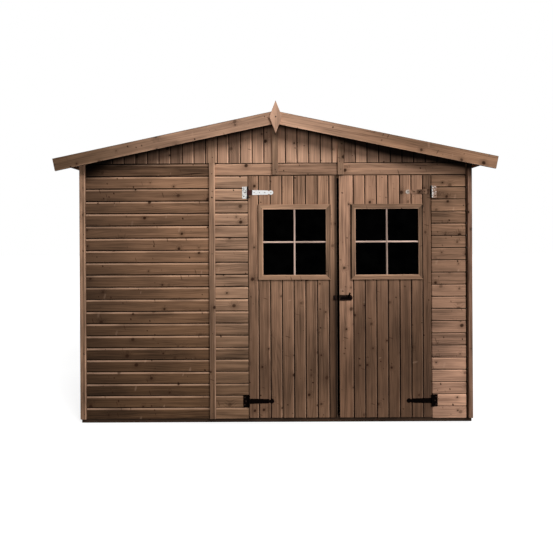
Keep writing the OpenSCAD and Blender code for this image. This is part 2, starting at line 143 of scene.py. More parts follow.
# Screws of a hinge: distances from the pin along the strap, and on the plate shares of its height with insets
STRAP_SCREWS = (0.045, 0.085, 0.125, 0.170)
PLATE_SCREWS = ((0.2, 12 * MM), (0.5, 20 * MM), (0.8, 12 * MM))
METAL_T = 3 * MM
KNUCKLE_R = 6 * MM

# Roof, read from the frame apart from its pitch
PITCH = math.radians(11.8)
roof_lo, roof_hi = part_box("right_roof_boards")
EAVE_X, ROOF_Y = roof_hi.x, roof_hi.y
ROOF_T = roof_hi.z - roof_lo.z - EAVE_X * math.tan(PITCH)


def roof_under(x):
    """Height of the underside of the roof boards at x."""
    return roof_lo.z + (EAVE_X - abs(x)) * math.tan(PITCH)


def roof_top(x):
    """Height of the top of the roof boards at x."""
    return roof_under(x) + ROOF_T


def up_to_roof(x, z):
    """Span of an upright board from height z up to the roof, for each distance across it from x."""
    return lambda t: (0, roof_under(x + t) - z - HAIR)


def outward(lo, hi):
    """Direction out of the front or rear wall that a box lies on, and the y of the box's outer face."""
    return (-Y, lo.y) if lo.y < 0 else (Y, hi.y)


def slope_axes(way):
    """Directions down one slope and out of its top. way is 1 on the right and -1 on the left."""
    down = Vector((way * math.cos(PITCH), 0, -math.sin(PITCH)))
    up = Vector((way * math.sin(PITCH), 0, math.cos(PITCH)))
    return down, up


def linked(name, data):
    """A new object of the scene."""
    new = bpy.data.objects.new(name, data)
    bpy.context.scene.collection.objects.link(new)
    return new


def solids(node):
    """Boxes (low corner, high corner) of a CAD node's separate solids, in order of place."""
    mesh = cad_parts[node].data
    parent = {}

    def root(key):
        while parent[key] != key:
            key = parent[key]
        return key

    keys = [tuple(round(c * GRID) for c in v.co) for v in mesh.vertices]
    for key in keys:
        parent.setdefault(key, key)
    for face in mesh.polygons:
        first = root(keys[face.vertices[0]])
        for i in face.vertices[1:]:
            parent[root(keys[i])] = first
    groups = {}
    for key in parent:
        groups.setdefault(root(key), []).append(key)
    boxes = [(Vector(map(min, zip(*g))) / GRID, Vector(map(max, zip(*g))) / GRID) for g in groups.values()]
    return sorted(boxes, key=lambda b: tuple(b[0]))


class Piece:
    """Boards and timbers gathered in one mesh. Each board keeps its own wood coordinates: grain is metres
    along, across and into the board from a random start, tone is one number a board, and wear is above 0 on
    edges that are worn and painted pale as a highlight, and below 0 in grooves and recesses, which are
    darkened by dirt and painted shade. finish is the number of a board's material."""

    def __init__(self, name):
        self.name = name
        self.rng = random.Random(name)
        self.verts, self.faces, self.finishes = [], [], []
        self.grain, self.tone, self.wear = [], [], []

    def loft(self, rings, grains, wears, tone, finish=0):
        """Closed skin over rings of equally many points, with both ends capped."""
        base, count = len(self.verts), len(rings[0])
        shift = Vector([self.rng.uniform(0, 60) for _ in range(3)])
        for ring, grain in zip(rings, grains):
            self.verts += ring
            self.grain += [g + shift for g in grain]
            self.wear += wears
            self.tone += [tone] * count
        before = len(self.faces)
        for r in range(len(rings) - 1):
            a, b = base + r * count, base + (r + 1) * count
            for i in range(count):
                j = (i + 1) % count
                self.faces.append((a + i, a + j, b + j, b + i))
        self.faces.append(tuple(base + i for i in range(count)))
        self.faces.append(tuple(base + (len(rings) - 1) * count + i for i in range(count)))
        self.finishes += [finish] * (len(self.faces) - before)

    def board(self, origin, axes, span, section, step=BOARD_STEP, wobble=0.5 * MM, ends=0.0, tone=None,
              finish=0):
        """A board along axes[0]. Its section is a list of (across, depth, wear), across on axes[1] and
        depth against axes[2]. span is (start, end), or a function that gives it for each across. The face
        wanders by wobble, and ends is how far the ends are eased."""
        along, across, out = axes
        reach = span if callable(span) else lambda t: span
        tone = self.rng.random() if tone is None else tone
        wide = max(t for t, _, _ in section)
        deep = max(d for _, d, _ in section)
        start, stop = reach(wide / 2)
        count = max(1, round(abs(stop - start) / step))
        stations = [(i / count, 0.0, 0.0) for i in range(count + 1)]
        if ends:
            stations = [(0, 0, 1), (0, ends, 0)] + stations[1:-1] + [(1, -ends, 0), (1, 0, 1)]
        rings, grains = [], []
        for share, offset, pinch in stations:
            dip = self.rng.uniform(0, wobble)
            sway = self.rng.uniform(-wobble, wobble)
            ring, grain = [], []
            for t, d, _ in section:
                low, high = reach(t)
                s = low + (high - low) * share + offset
                facing = d < 0.6 * deep
                t2 = t + (1 - 2 * t / wide) * pinch * ends + (sway if facing else 0)
                d2 = d + (1 - 2 * d / deep) * pinch * ends + (dip if facing else 0)
                ring.append(origin + along * s + across * t2 - out * d2)
                grain.append(Vector((s, t, d)))
            rings.append(ring)
            grains.append(grain)
        self.loft(rings, grains, [w for _, _, w in section], tone, finish)

    def beam(self, lo, hi, finish=0):
        """A squared timber with eased edges, its grain along its longest side."""
        size = hi - lo
        order = sorted(range(3), key=lambda i: -size[i])
        along, across, out = [(X, Y, Z)[i] for i in order]
        length, wide, deep = [size[i] for i in order]
        self.board(lo + out * deep, (along, across, out), (0, length), squared(wide, deep), BEAM_STEP, 0,
                   ARRIS, None, finish)

    def slab(self, outline, back, front, arris):
        """A plate with the outline (x, z), from y = back to an eased face at y = front."""
        mid = Vector((sum(x for x, _ in outline), sum(z for _, z in outline))) / len(outline)
        edge = front + math.copysign(arris, back - front)
        rings, grains = [], []
        for y, inset in ((back, 0), (edge, 0), (front, arris)):
            points = []
            for x, z in outline:
                pull = mid - Vector((x, z))
                x2, z2 = Vector((x, z)) + pull.normalized() * inset * FINIAL_PULL
                points.append(Vector((x2, y, z2)))
            rings.append(points)
            grains.append([Vector((p.z, p.x, p.y)) for p in points])
        self.loft(rings, grains, [0.2] * len(outline), 0.5)

    def lathe(self, centre, out, profile, sides=8):
        """A small turned head on a face: profile is a list of (radius, height)."""
        side = out.orthogonal().normalized()
        other = out.cross(side)
        rings = []
        for radius, height in profile:
            ring = []
            for i in range(sides):
                angle = 2 * math.pi * i / sides
                spoke = side * math.cos(angle) + other * math.sin(angle)
                ring.append(centre + spoke * radius + out * height)
            rings.append(ring)
        self.loft(rings, rings, [0.0] * sides, self.rng.random())

    def make(self, body, materials, slot, *nodes):
        """Makes the mesh object, which rides on body and stands for the CAD nodes. materials is one
        material, or one for each finish."""
        mesh = bpy.data.meshes.new(self.name)
        mesh.from_pydata(self.verts, [], self.faces)
        for label, values in (("tone", self.tone), ("wear", self.wear)):
            mesh.attributes.new(label, "FLOAT", "POINT").data.foreach_set("value", values)
        flat = [c for g in self.grain for c in g]
        mesh.attributes.new("grain", "FLOAT_VECTOR", "POINT").data.foreach_set("vector", flat)
        for material in materials if isinstance(materials, tuple) else (materials,):
            mesh.materials.append(material)
        mesh.polygons.foreach_set("material_index", self.finishes)
        shape = bmesh.new()
        shape.from_mesh(mesh)
        bmesh.ops.recalc_face_normals(shape, faces=shape.faces)
        shape.to_mesh(mesh)
        shape.free()
        piece = linked(self.name, mesh)
        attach(piece, body)
        if nodes:
            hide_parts(*nodes)


def squared(wide, deep, a=ARRIS):
    """Section of a squared timber whose face edges are eased by a."""
    return [
        (a, 0, 0.6), (a + FLANK, 0, 0), (wide - a - FLANK, 0, 0), (wide - a, 0, 0.6),
        (wide, a, 0.6), (wide, deep - ARRIS, 0.2), (wide - ARRIS, deep, 0.2),
        (ARRIS, deep, 0.2), (0, deep - ARRIS, 0.2), (0, a, 0.6),
    ]


def matched(cover, deep, groove=GROOVE, chamfer=CHAMFER, pale=1.0):
    """Section of a tongued board: a lip, a flat face, a chamfer that is worn and painted pale as a highlight,
    and the tongue that the next board laps, painted dark as shade."""
    edge = cover - groove
    turn = edge - chamfer
    return [
        (0, deep, -0.5), (0, LIP, -0.3), (LIP, 0, 0.1), (LIP + FLANK, 0, 0), (turn - FLANK, 0, 0),
        (turn, 0, 0.8 * pale), (edge, CHAMFER_DEEP, pale), (edge, GROOVE_DEEP, -1), (cover, GROOVE_DEEP, -1),
        (cover, deep, -0.5),
    ]


def edged(wide, deep, strip, near=0.3):
    """Section of a squared timber with a painted highlight: a pale strip along the far edge of its face. near
    is the wear of the near edge, which darkens it below 0."""
    return [
        (ARRIS, 0, near), (3 * ARRIS, 0, 0), (wide - strip - FLANK, 0, 0), (wide - strip, 0, 1.3),
        (wide - ARRIS, 0, 1.5), (wide, ARRIS, 1.2), (wide, deep, 0.2), (0, deep, 0.2), (0, ARRIS, near),
    ]


def bevelled(wide, deep, bevel, pale, margin):
    """Section of a window trim, with a pale bevel towards the glass. margin is the width of a sunk strip along
    its outer edge, painted dark as shadow, or 0."""
    inner = [
        (wide - bevel - FLANK, 0, 0), (wide - bevel, 0, pale), (wide, WINDOW_BEVEL_DEEP, 1.4 * pale),
        (wide, deep, 0.6 * pale), (0, deep, 0),
    ]
    if margin:
        sunk = [(0, deep / 2, -1), (margin, deep / 2, -1)]
        return [(margin, 0, -0.3), (margin + FLANK, 0, 0)] + inner + sunk
    return [(ARRIS, 0, 0.4), (ARRIS + FLANK, 0, 0)] + inner + [(0, ARRIS, 0.2)]


def rounded(wide, deep):
    """Section of a window bar with bevels to both sides."""
    side = 0.3 * wide
    fall = 0.5 * deep
    return [
        (side, 0, 0.6), (wide - side, 0, 0.6), (wide, fall, 0.6),
        (wide, deep, 0.2), (0, deep, 0.2), (0, fall, 0.6),
    ]


class Tree:
    """Short names for the shader nodes of one material or world."""

    def __init__(self, owner):
        self.owner = owner
        owner.use_nodes = True
        self.nodes, self.links = owner.node_tree.nodes, owner.node_tree.links
        self.nodes.clear()

    def node(self, kind, inputs=(), **settings):
        """A node with its settings and inputs, which are sockets to link or plain values."""
        new = self.nodes.new("ShaderNode" + kind)
        for key, value in settings.items():
            setattr(new, key, value)
        for key, value in dict(inputs).items():
            if isinstance(value, bpy.types.NodeSocket):
                self.links.new(value, new.inputs[key])
            else:
                new.inputs[key].default_value = value
        return new

    def attribute(self, name, output="Fac"):
        return self.node("Attribute", attribute_name=name, attribute_type="GEOMETRY").outputs[output]

    def place(self):
        """Position in the shed, with its x, y and z."""
        spot = self.node("TexCoord").outputs["Object"]
        return spot, self.node("SeparateXYZ", {0: spot}).outputs

    def math(self, operation, *values):
        return self.node("Math", dict(enumerate(values)), operation=operation).outputs[0]

    def times(self, a, b):
        return self.math("MULTIPLY", a, b)

    def plus(self, a, b):
        return self.math("ADD", a, b)

    def minus(self, a, b):
        return self.math("SUBTRACT", a, b)

    def most(self, a, b):
        return self.math("MAXIMUM", a, b)

    def blend(self, weights):
        """1 plus each (value - 0.5) times its weight: light and dark about a middle."""
        total = 1.0
        for value, weight in weights:
            total = self.plus(self.math("MULTIPLY_ADD", value, weight, -weight / 2), total)
        return total

    def scale(self, vector, factor):
        return self.node("VectorMath", {0: vector, 3: factor}, operation="SCALE").outputs[0]

    def stretch(self, vector, x, y, z):
        return self.node("VectorMath", {0: vector, 1: (x, y, z)}, operation="MULTIPLY").outputs[0]

    def remap(self, value, low, high, to_low=0.0, to_high=1.0):
        inputs = {"Value": value, 1: low, 2: high, 3: to_low, 4: to_high}
        return self.node("MapRange", inputs, interpolation_type="SMOOTHSTEP").outputs[0]

    def mix(self, factor, a, b):
        return self.node("Mix", {0: factor, 6: a, 7: b}, data_type="RGBA").outputs[2]

    def noise(self, vector, scale=1.0, detail=2.0, rough=0.5):
        """Noise spread over 0 to 1."""
        inputs = {"Vector": vector, "Scale": scale, "Detail": detail, "Roughness": rough}
        return self.remap(self.node("TexNoise", inputs).outputs[0], 0.28, 0.72)

    def finish(self, colour, roughness, height=None, bump=0.4, deep=0.6 * MM, **constants):
        """Principled surface. constants are set on its own sockets."""
        shader = self.node("BsdfPrincipled", {"Base Color": colour, "Roughness": roughness})
        for key, value in constants.items():
            shader.inputs[key.replace("_", " ")].default_value = value
        if height is not None:
            raised = self.node("Bump", {"Strength": bump, "Distance": deep, "Height": height})
            self.links.new(raised.outputs[0], shader.inputs["Normal"])
        self.node("OutputMaterial", {0: shader.outputs[0]})
        return self.owner


def srgb(red, green, blue):
    """Linear colour from 0 to 255 screen values."""
    parts = [c / 255 for c in (red, green, blue)]
    return tuple(c / 12.92 if c < 0.04045 else ((c + 0.055) / 1.055) ** 2.4 for c in parts) + (1.0,)


KNOT = srgb(44, 25, 15)
STAIN = srgb(60, 40, 28)
PALE = srgb(204, 168, 144)
BITUMEN = srgb(20, 20, 21)
WARMTH = (1.0, 0.978, 0.946)
RING = 13.0 * MM
# Heights between which a wall turns from its low to its top colour, and the painted light at its foot fades out
WALL_SPAN = (0.1, 1.85)
FOOT_SPAN = (0.12, 0.3)
# Painted shade under the roof: where along x it deepens on the right, eases at the right end and deepens at the
# left
SHADE_RIGHT = (0.2, 0.9)
SHADE_RIGHT_END = (0.85, 1.15)
SHADE_LEFT = (-1.42, -1.15)
# How far down it stays dark, and then fades out: half way along, what the right adds and what the left adds
SHADE_DARK = (0.045, 0.045, 0.025)
SHADE_FADE = (0.06, -0.015, 0.09)
# Layers of knots: cells a metre, least and greatest radius in cells, slimness and slant
ROUND_KNOTS = (7.5, 0.05, 0.115, 0.9, 0.5)
PIN_KNOTS = (17.0, 0.06, 0.16, 1.4, 0.4)
SPIKE_KNOTS = (5.0, 0.05, 0.13, 6.0, 0.3)
PALE_FLECKS = (4.3, 0.05, 0.12, 2.8, -0.25)
# Patterns of the grain: scale along the board, and across and into it
DRIFT = (0.8, 6.0)
FIBRE = (4.0, 120.0)
STREAK = (1.8, 40.0)
BLOTCH = (3.0, 9.0)
FLAME = (2.4, 34.0)


def knot_layer(t, grain, layer, chance):
    """Cores and halos of knots scattered over the boards, some fainter than others. chance is the share of
    cells that hold one. Above 1, slimness makes them narrow along the grain."""
    cells, small, large, slim, slant = layer
    turn = {"Vector": grain, "Rotation": (0, 0, slant), "Scale": (1 / slim, 1, 1)}
    turned = t.node("Mapping", turn, vector_type="TEXTURE").outputs[0]
    cell = t.node("TexVoronoi", {"Vector": turned, "Scale": cells}, voronoi_dimensions="2D")
    pick, size, deep = t.node("SeparateColor", {0: cell.outputs["Color"]}).outputs
    taken = t.times(t.math("LESS_THAN", pick, chance), t.remap(deep, 0.0, 0.6, 0.5, 1.0))
    ratio = t.math("DIVIDE", cell.outputs["Distance"], t.remap(size, 0.0, 1.0, small, large))
    core = t.times(t.remap(ratio, 0.5, 1.15, 1.0, 0.0), taken)
    halo = t.times(t.remap(ratio, 0.8, 3.4, 1.0, 0.0), taken)
    return core, halo


def knots_and_flecks(t, grain, knots, spikes):
    """Dark knots, the stained halos of the round ones, and pale flecks."""
    core, halo = knot_layer(t, grain, ROUND_KNOTS, knots)
    pins, _ = knot_layer(t, grain, PIN_KNOTS, 0.18 * knots)
    spike, _ = knot_layer(t, grain, SPIKE_KNOTS, spikes)
    fleck, _ = knot_layer(t, grain, PALE_FLECKS, spikes)
    knot = t.most(t.most(core, pins), t.times(spike, 0.7))
    return knot, halo, fleck


def pattern(t, grain, scales, detail=2.0, rough=0.5):
    """Noise drawn out along the grain."""
    along, across = scales
    return t.noise(t.stretch(grain, along, across, across), 1.0, detail, rough)


def late_wood(t, grain, halo):
    """Dark lines of the growth rings, which drift along the board and bend round knots."""
    across = t.node("SeparateXYZ", {0: grain}).outputs[1]
    drift = t.times(pattern(t, grain, DRIFT), 4.0)
    turns = t.plus(t.math("DIVIDE", across, RING), drift)
    turns = t.plus(turns, t.times(halo, 2.6))
    return t.remap(t.math("SINE", t.times(turns, 2 * math.pi)), 0.0, 1.0)


def scratches(t, spot, middle):
    """Pale scratches in a round patch about a middle point."""
    away = t.node("VectorMath", {0: spot, 1: middle}, operation="DISTANCE").outputs["Value"]
    scratch = t.noise(t.stretch(spot, 160.0, 160.0, 70.0))
    return t.times(t.remap(away, 0.012, 0.034, 1.0, 0.0), t.remap(scratch, 0.5, 0.7))


def painted_roof_shade(t, coords):
    """Painted shade under the roof, as a factor on the colour: deepest half way down the right slope and in the
    left corner.
    """
    fall = t.times(t.math("ABSOLUTE", coords[0]), math.tan(PITCH))
    below = t.minus(roof_under(0), t.plus(coords[2], fall))
    right = t.times(t.remap(coords[0], *SHADE_RIGHT), t.remap(coords[0], *SHADE_RIGHT_END, 1.0, 0.65))
    left = t.remap(coords[0], *SHADE_LEFT, 1.0, 0.0)
    depths = []
    for plain, on_right, on_left in (SHADE_DARK, SHADE_FADE):
        depth = t.math("MULTIPLY_ADD", left, on_left, plain)
        depths.append(t.math("MULTIPLY_ADD", right, on_right, depth))
    dark, fade = depths
    return t.remap(below, dark, t.plus(dark, fade), 0.03, 1.0)


def wood(name, top, low, axis=2, span=WALL_SPAN, fade=None, eaves=False, knots=0.45, spikes=0.1, spread=0.5,
         figure=1.0, flames=0.3, scuff=None, foot=1.0):
    """Stained softwood: growth rings that bend round knots, fibres, blotches, dark flames, pale edges that are
    partly worn and partly a painted highlight, and grooves darkened by dirt and painted shade. Its colour, in
    screen values, runs from low at span[0] to top at span[1] along an axis of the shed. fade is (x, x, factor):
    changed by the factor at the first x, and plain at the second. eaves adds painted shade under the roof.
    figure is the strength of the grain. scuff is the middle of a scratched patch. foot is a factor of painted
    light at the foot of the walls, standing in for light from the ground. Faces that look down get painted
    shade."""
    t = Tree(bpy.data.materials.new(name))
    grain = t.attribute("grain", "Vector")
    tone, wear = t.attribute("tone"), t.attribute("wear")
    spot, coords = t.place()
    knot, halo, fleck = knots_and_flecks(t, grain, knots, spikes)
    late = late_wood(t, grain, halo)
    fibre = pattern(t, grain, FIBRE, 3.0, 0.6)
    streak = pattern(t, grain, STREAK)
    blotch = pattern(t, grain, BLOTCH, 3.0)
    flame = t.remap(pattern(t, grain, FLAME), 0.78, 0.98)
    flame = t.times(flame, t.remap(coords[2], 0.3, 1.4, flames, 0.5 * flames))

    colour = t.mix(t.remap(coords[axis], *span), srgb(*low), srgb(*top))
    colour = t.scale(colour, t.blend([
        (tone, spread), (fibre, 0.36 * figure), (streak, 0.44 * figure), (blotch, 0.46),
        (late, -0.22 * figure),
    ]))
    colour = t.mix(t.times(halo, 0.3), colour, STAIN)
    colour = t.mix(flame, colour, STAIN)
    colour = t.mix(t.times(fleck, 0.2), colour, PALE)
    if fade:
        colour = t.scale(colour, t.remap(coords[0], fade[0], fade[1], fade[2], 1.0))
    # Painted light at the foot of the walls
    if foot != 1.0:
        colour = t.scale(colour, t.remap(coords[2], *FOOT_SPAN, foot, 1.0))

    # Pale edges: partly wear, partly a painted highlight on edges that face the light
    worn_and_highlit = t.times(t.most(wear, 0.0), t.remap(blotch, 0.1, 0.7, 0.55, 1.0))
    colour = t.scale(colour, t.math("MULTIPLY_ADD", worn_and_highlit, 0.6, 1.0))
    if scuff:
        worn_and_highlit = t.most(worn_and_highlit, scratches(t, spot, scuff))
    colour = t.mix(t.times(worn_and_highlit, 0.3), colour, PALE)
    colour = t.mix(t.times(knot, 0.9), colour, KNOT)
    # Grooves, lips and the backs of boards darkened: dirt and painted shade in the recesses
    colour = t.scale(colour, t.math("MULTIPLY_ADD", t.math("MINIMUM", wear, 0.0), 0.88, 1.0))
    # Painted shade under the roof, on the woods that ask for it
    if eaves:
        colour = t.scale(colour, painted_roof_shade(t, coords))
    # Faces that look down are darkened: painted shade on the undersides
    facing = t.node("SeparateXYZ", {0: t.node("NewGeometry").outputs["True Normal"]}).outputs[2]
    colour = t.stretch(t.scale(colour, t.remap(facing, -0.9, -0.5, 0.1, 1.0)), *WARMTH)
    relief = t.blend([(fibre, 0.5), (late, 0.4), (knot, -0.8)])
    return t.finish(colour, t.remap(blotch, 0.0, 1.0, 0.7, 0.95), relief, Specular_IOR_Level=0.06)


def metal(name, base, spots, cover, roughness, metallic=0.0, size=240.0, shine=0.15, paint=None):
    """Worn metal: spots show through where a mottled pattern is high. paint is a function of the tree, the
    colour, the x of a point and the pattern, for the parts that look otherwise."""
    t = Tree(bpy.data.materials.new(name))
    spot, coords = t.place()
    mottle = t.noise(spot, size, 4.0, 0.65)
    fine = t.noise(spot, size * 5)
    colour = t.mix(t.remap(mottle, 0.92 - cover, 1.08 - cover), base, spots)
    if paint:
        colour = paint(t, colour, coords[0], mottle)
    colour = t.scale(colour, t.blend([(fine, 0.16)]))
    rough = t.remap(mottle, 0.0, 1.0, roughness - 0.08, roughness + 0.15)
    return t.finish(colour, rough, mottle, 0.3, 0.2 * MM, Metallic=metallic, Specular_IOR_Level=shine)


def felt(name):
    """Mineral roofing felt: dark granules, paler grains, weather streaks down the slope and bitumen at the
    seams, where wear is above 0."""
    t = Tree(bpy.data.materials.new(name))
    spot, _ = t.place()
    grains = t.noise(spot, 900.0, 2.0, 0.7)
    patches = t.noise(spot, 3.5, 3.0)
    runs = t.noise(t.stretch(spot, 1.2, 14.0, 1.2))
    colour = t.mix(grains, srgb(50, 52, 52), srgb(100, 101, 97))
    colour = t.scale(colour, t.blend([(patches, 0.36), (runs, 0.26)]))
    seam = t.times(t.attribute("wear"), t.remap(patches, 0.0, 0.5, 0.6, 0.9))
    colour = t.mix(seam, colour, BITUMEN)
    return t.finish(colour, t.remap(grains, 0.0, 1.0, 0.8, 0.95), grains, 0.5, 0.8 * MM)


def pane(name):
    """Opaque glass, nearly black as painted shade of the dark inside, with a film of dust."""
    t = Tree(bpy.data.materials.new(name))
    spot, _ = t.place()
    film = t.noise(spot, 14.0, 4.0, 0.6)
    colour = t.mix(film, (0.0003, 0.0003, 0.0004, 1), (0.0012, 0.0012, 0.0012, 1))
    return t.finish(colour, t.remap(film, 0.0, 1.0, 0.05, 0.2), Specular_IOR_Level=0.0)


# Woods of the front, coloured as they look in the light, some with painted light and shade
# Left wall: painted shade, darker towards its left end and under the roof, and painted light at its foot
left_wall_wood = wood("left_wall_wood", (139, 106, 83), (88, 65, 47), fade=(-1.5, -0.6, 0.41), eaves=True,
                      knots=0.5, spikes=0.22, foot=1.34)
left_strip_wood = wood("left_strip_wood", (172, 137, 113), (109, 84, 65), knots=0.4, spikes=0.12, foot=1.34)
right_strip_wood = wood("right_strip_wood", (126, 97, 77), (149, 116, 97), fade=(1.4, 1.14, 1.35),
                        eaves=True, knots=0.85, spikes=0.16)
# Gable: painted shade, darker towards its left end and its right end, and under the roof
gable_wood = wood("gable_wood", (206, 164, 138), (138, 108, 89), axis=0, span=(-1.3, 0.9),
                  fade=(0.9, 0.45, 0.52), eaves=True, spikes=0.05, figure=0.7)
header_wood = wood("header_wood", (172, 135, 111), (172, 135, 111), eaves=True, knots=0.4, spikes=0.2)
left_door_wood = wood("left_door_wood", (158, 123, 100), (99, 75, 59), knots=0.5, foot=1.28)
# Left door's last stile: painted shadow, darkening to nearly black at its edge by the gap, and painted light at
# its foot
left_stile_wood = wood("left_stile_wood", (179, 140, 114), (81, 60, 46), span=(0.65, 1.7),
                       fade=(0.45, 0.42, 0.1), knots=0.4, foot=1.2)
right_door_wood = wood("right_door_wood", (164, 127, 104), (92, 69, 54), span=(0.5, 1.8), figure=0.8,
                       foot=1.15)
meeting_wood = wood("meeting_wood", (181, 141, 117), (113, 85, 67), span=(0.3, 1.5), knots=0.8,
                    scuff=(0.487, -0.974, 0.968))
right_stile_wood = wood("right_stile_wood", (124, 95, 76), (87, 65, 51), span=(0.5, 1.8), knots=0.4)
window_wood = wood("window_wood", (158, 125, 102), (128, 98, 78), knots=0.1, spread=1.0)
bar_wood = wood("bar_wood", (194, 170, 160), (184, 162, 153), knots=0.0, spikes=0.0, spread=1.0)
left_corner_wood = wood("left_corner_wood", (150, 118, 96), (118, 91, 72), knots=0.3, spread=0.2)
# Right corner: painted shade along its right edge and under the roof
right_corner_wood = wood("right_corner_wood", (128, 98, 82), (122, 93, 76), fade=(1.45, 1.43, 0.6),
                         eaves=True, knots=0.3, spread=0.2)
batten_wood = wood("batten_wood", (155, 123, 101), (102, 78, 61), eaves=True, knots=0.3, spread=0.3)
left_barge_wood = wood("left_barge_wood", (188, 150, 126), (110, 85, 65), axis=0, span=(-1.6, -0.25),
                       knots=0.75, spikes=0.2, spread=0.1, figure=0.6)
right_barge_wood = wood("right_barge_wood", (152, 117, 93), (188, 150, 126), axis=0, span=(0.1, 0.9),
                        knots=0.6, spikes=0.15, spread=0.1, flames=0.5)
finial_wood = wood("finial_wood", (190, 152, 129), (190, 152, 129), knots=0.0, spikes=0.0, spread=0.0,
                   figure=0.3, flames=0.0)

# Other woods
side_wood = wood("side_wood", (136, 105, 83), (96, 72, 55), knots=0.5)
trim_wood = wood("trim_wood", (138, 107, 86), (108, 83, 65), knots=0.25, spread=0.3)
inner_wood = wood("inner_wood", (158, 124, 95), (140, 108, 82), knots=0.35)
# Nearly black: painted shade on the timbers and boards under the walls and doors, and painted shadow in the
# front right corner's slot
base_wood_in_painted_shade = wood("base_wood_in_painted_shade", (38, 19, 10), (24, 12, 6), knots=0.2)
slot_painted_shadow = wood("slot_painted_shadow", (24, 14, 10), (18, 10, 7), knots=0.2)

# Metals
LEFT_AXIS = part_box("left_upper_hinge_strap")[0].x + KNUCKLE_R
RIGHT_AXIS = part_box("right_upper_hinge_strap")[1].x - KNUCKLE_R
BLACK = srgb(10, 7, 6)
ROOT_BROWN = srgb(58, 26, 22)
SILVER = srgb(214, 206, 196)
DULL = srgb(152, 118, 96)
ROOT_L = 32 * MM
STRAP_END = 0.155
# Dark stains on the right strap: distance from its pin, half length, strength
STRAP_STAINS = ((0.020, 20 * MM, 0.85), (0.076, 42 * MM, 0.85))


def blacken(t, colour, x, axis):
    """Black round the pin at axis."""
    away = t.math("ABSOLUTE", t.minus(x, axis))
    return t.mix(t.remap(away, KNUCKLE_R + MM, KNUCKLE_R + 2 * MM, 1.0, 0.0), colour, BLACK)


def left_strap_paint(t, colour, x, mottle):
    """Dark red root beside the pin."""
    return t.mix(t.remap(x, LEFT_AXIS + ROOT_L - 2 * MM, LEFT_AXIS + ROOT_L + 2 * MM), ROOT_BROWN, colour)


def right_strap_paint(t, colour, x, mottle):
    """Dark stains along the strap, a black knuckle, and silver left on the round end."""
    for reach, half, strength in STRAP_STAINS:
        away = t.math("ABSOLUTE", t.minus(x, RIGHT_AXIS - reach))
        stain = t.remap(away, 0.2 * half, half, strength, 0.0)
        patchy = t.times(stain, t.remap(mottle, 0.0, 0.6, 0.7, 1.0))
        colour = t.mix(patchy, colour, KNOT)
    end = t.remap(x, RIGHT_AXIS - STRAP_END - 8 * MM, RIGHT_AXIS - STRAP_END, 0.8, 0.0)
    colour = t.mix(t.times(end, t.remap(mottle, 0.2, 0.6, 0.3, 1.0)), colour, SILVER)
    return blacken(t, colour, x, RIGHT_AXIS)


def plate_paint(t, colour, x, mottle):
    """Black pins, and rust that spreads from the far edge of the right plate."""
    spread = t.math("MULTIPLY_ADD", t.minus(x, RIGHT_AXIS), 13.0, mottle)
    colour = t.mix(t.remap(spread, 0.5, 0.75), colour, DULL)
    return blacken(t, blacken(t, colour, x, LEFT_AXIS), x, RIGHT_AXIS)


# The upper hinges' near white is a painted reflection of the sky on zinc
zinc_plates_painted_sky = metal("zinc_plates_painted_sky", srgb(244, 242, 238), srgb(60, 54, 50), 0.22, 0.5, size=130.0,
                    paint=plate_paint)
zinc_strap = metal("zinc_strap", srgb(252, 251, 250), srgb(190, 185, 180), 0.15, 0.5, paint=left_strap_paint)
brown_strap = metal("brown_strap", DULL, srgb(128, 97, 77), 0.4, 0.7, size=70.0, shine=0.05,
                    paint=right_strap_paint)
# Black: on the lower hinges and their screws a painted reflection of the dark ground
black_metal_and_painted_reflection = metal("black_metal_and_painted_reflection", BLACK, srgb(20, 12, 10), 0.3, 0.8, shine=0.0)
brown_iron = metal("brown_iron", srgb(15, 9, 8), srgb(44, 28, 22), 0.42, 0.7, size=90.0, shine=0.05)
nail_steel = metal("nail_steel", srgb(62, 43, 32), srgb(36, 22, 15), 0.5, 0.6, 0.1)
zinc_screws = metal("zinc_screws", srgb(206, 203, 198), srgb(150, 144, 138), 0.4, 0.5)
clout_steel = metal("clout_steel", srgb(150, 152, 152), srgb(96, 84, 76), 0.42, 0.5, 0.6)
roofing = felt("roofing")
glass = pane("glass")


def clad(piece, box, out, courses, finish=0, sag=0.0, edge=PLAIN_EDGE, tones=(), ends=0.0):
    """Horizontal boards over one wall panel. Half way up they lie lower by a quarter of sag times the height.
    edge is the groove, the chamfer and how pale it is. tones holds those of single courses, counted from the
    foot. ends is how far the ends of the boards are eased."""
    lo, hi = box
    along = X if abs(out.y) else Y
    length = (hi - lo).dot(along)
    deep = (hi - lo).dot(Vector(map(abs, out)))
    face = Vector((lo.x if out.x <= 0 else hi.x, lo.y if out.y <= 0 else hi.y, lo.z))
    shares = [k / courses for k in range(courses + 1)]
    heights = [(u - sag * u * (1 - u)) * (hi.z - lo.z) for u in shares]
    for k, (bottom, top) in enumerate(zip(heights, heights[1:])):
        drawn = piece.rng.random()
        tone = dict(tones).get(k, drawn)
        section = matched(top - bottom, deep, *edge)
        axes = (along, Z, out)
        piece.board(face + Z * bottom, axes, (0, length), section, ends=ends, tone=tone, finish=finish)


def timbers(name, node, material, slot="inner_wood"):
    """One piece of squared timbers, one for each solid of a node."""
    piece = Piece(name)
    for box in solids(node):
        piece.beam(*box)
    piece.make("shed", material, slot, node)


# Walls
front_left = Piece("front_left_wall_boards")
left_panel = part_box("front_left_cladding")
clad(front_left, left_panel, -Y, COURSES, 0, SAG, LEFT_WALL_EDGE, LEFT_WALL_TONES)
front_left.make("shed", left_wall_wood, "wall_boards", "front_left_cladding")

